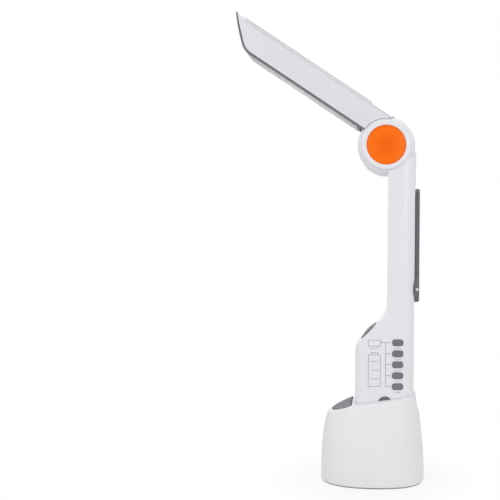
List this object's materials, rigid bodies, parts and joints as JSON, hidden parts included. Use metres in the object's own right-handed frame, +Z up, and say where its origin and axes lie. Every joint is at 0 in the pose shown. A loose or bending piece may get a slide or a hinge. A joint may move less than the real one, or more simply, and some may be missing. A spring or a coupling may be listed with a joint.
{
  "type": "solar emergency lamp",
  "caption": "Upright emergency lamp with a folding light head, solar panel, hand-crank dynamo, side buttons and charging ports, standing in a lift-off cradle.",
  "frame": {"origin": "middle of the cradle's underside", "axes": "+Z up, -X the way the head points, -Y the side with the buttons, +X the back with the crank and the ports"},
  "size_m": [0.1614, 0.0674, 0.3923],
  "materials": {
    "white_shell": "satin moulded white",
    "cradle_white": "satin moulded white",
    "grey_rubber": "matt",
    "dark_plastic": "satin",
    "panel_grey": "satin",
    "pad_grey": "matt",
    "foot_rubber": "matt",
    "orange_lens": "glossy",
    "frosted_lens": "frosted",
    "clear_cover": "clear",
    "solar_cells": "glossy dark",
    "steel": "bright",
    "port_metal": "plated",
    "circuit_board": "lacquered",
    "board_white": "lacquered",
    "led_yellow": "glossy",
    "cell_wrap": "satin",
    "gear_plastic": "satin",
    "magnet": "dull",
    "copper": "enamelled"
  },
  "bodies": {
    "cradle": {"cradle_shell": "cradle_white", "cradle_base_plate": "cradle_white", "cradle_foot_pad": "foot_rubber", "cradle_front_panel": "panel_grey", "cradle_ballast": "steel", "cradle_screws": "steel"},
    "lamp": {"body_shell_left": "white_shell", "body_shell_right": "white_shell", "body_screws": "steel", "battery_cell": "cell_wrap", "main_board": "circuit_board", "button_board": "circuit_board", "switch_board": "circuit_board", "tact_switches": "dark_plastic", "usb_a_socket": "port_metal", "micro_usb_socket": "port_metal", "finger_recess_liner": "dark_plastic", "gear_plate": "gear_plastic", "dynamo_stator": "copper", "hinge_axle": "steel", "hinge_nuts": "steel", "hinge_cap_left": "white_shell", "hinge_cap_right": "white_shell", "warning_lens_left": "orange_lens", "warning_lens_right": "orange_lens", "warning_boards": "circuit_board", "warning_leds": "led_yellow"},
    "head": {"head_shell": "white_shell", "head_bezel": "dark_plastic", "head_lens": "frosted_lens", "led_frame": "board_white", "led_board": "board_white", "leds": "led_yellow", "solar_panel": "solar_cells", "solar_cover": "clear_cover"},
    "crank": {"crank_hub": "dark_plastic", "drive_gear": "gear_plastic", "crank_arm_pin": "steel"},
    "crank_arm": {"crank_arm": "dark_plastic", "crank_tab_pin": "steel"},
    "crank_tab": {"crank_tab": "dark_plastic"},
    "dynamo": {"dynamo_rotor": "magnet", "dynamo_pinion": "gear_plastic"},
    "main_switch": {"main_switch_pad": "pad_grey"},
    "round_button": {"round_button": "grey_rubber"},
    "button_1": {"side_button_1": "grey_rubber"},
    "button_2": {"side_button_2": "grey_rubber"},
    "button_3": {"side_button_3": "grey_rubber"},
    "button_4": {"side_button_4": "grey_rubber"},
    "button_5": {"side_button_5": "grey_rubber"}
  },
  "joints": [
    {"name": "lamp_lift", "type": "slide", "parent": "cradle", "child": "lamp", "axis": [0, 0, 1], "range_m": [0, 0.075]},
    {"name": "head_tilt", "type": "hinge", "parent": "lamp", "child": "head", "pos_m": [0.0093, 0, 0.2792], "axis": [0, 1, 0], "range_deg": [-121.8, 56.8]},
    {"name": "crank_spin", "type": "hinge", "parent": "lamp", "child": "crank", "pos_m": [0.036, 0, 0.16], "axis": [1, 0, 0], "continuous": true},
    {"name": "crank_unfold", "type": "hinge", "parent": "crank", "child": "crank_arm", "pos_m": [0.036, 0, 0.16], "axis": [0, 1, 0], "range_deg": [0, 180]},
    {"name": "tab_flip", "type": "hinge", "parent": "crank_arm", "child": "crank_tab", "pos_m": [0.0352, 0, 0.2399], "axis": [0, 1, 0], "range_deg": [0, 90]},
    {"name": "dynamo_spin", "type": "hinge", "parent": "lamp", "child": "dynamo", "pos_m": [0.022, 0, 0.1756], "axis": [1, 0, 0], "continuous": true},
    {"name": "main_switch_press", "type": "slide", "parent": "lamp", "child": "main_switch", "axis": [0.7145, 0, -0.6997], "range_m": [0, 0.001], "stiffness_N_per_m": 1200, "springref_m": -0.0006},
    {"name": "round_button_press", "type": "slide", "parent": "lamp", "child": "round_button", "axis": [0, 1, 0], "range_m": [0, 0.0008], "stiffness_N_per_m": 900, "springref_m": -0.0006},
    {"name": "button_1_press", "type": "slide", "parent": "lamp", "child": "button_1", "axis": [0, 1, 0], "range_m": [0, 0.0008], "stiffness_N_per_m": 900, "springref_m": -0.0006},
    {"name": "button_2_press", "type": "slide", "parent": "lamp", "child": "button_2", "axis": [0, 1, 0], "range_m": [0, 0.0008], "stiffness_N_per_m": 900, "springref_m": -0.0006},
    {"name": "button_3_press", "type": "slide", "parent": "lamp", "child": "button_3", "axis": [0, 1, 0], "range_m": [0, 0.0008], "stiffness_N_per_m": 900, "springref_m": -0.0006},
    {"name": "button_4_press", "type": "slide", "parent": "lamp", "child": "button_4", "axis": [0, 1, 0], "range_m": [0, 0.0008], "stiffness_N_per_m": 900, "springref_m": -0.0006},
    {"name": "button_5_press", "type": "slide", "parent": "lamp", "child": "button_5", "axis": [0, 1, 0], "range_m": [0, 0.0008], "stiffness_N_per_m": 900, "springref_m": -0.0006}
  ],
  "couplings": [
    {"joint": "dynamo_spin", "follows": "crank_spin", "ratio": -3.3333}
  ]
}
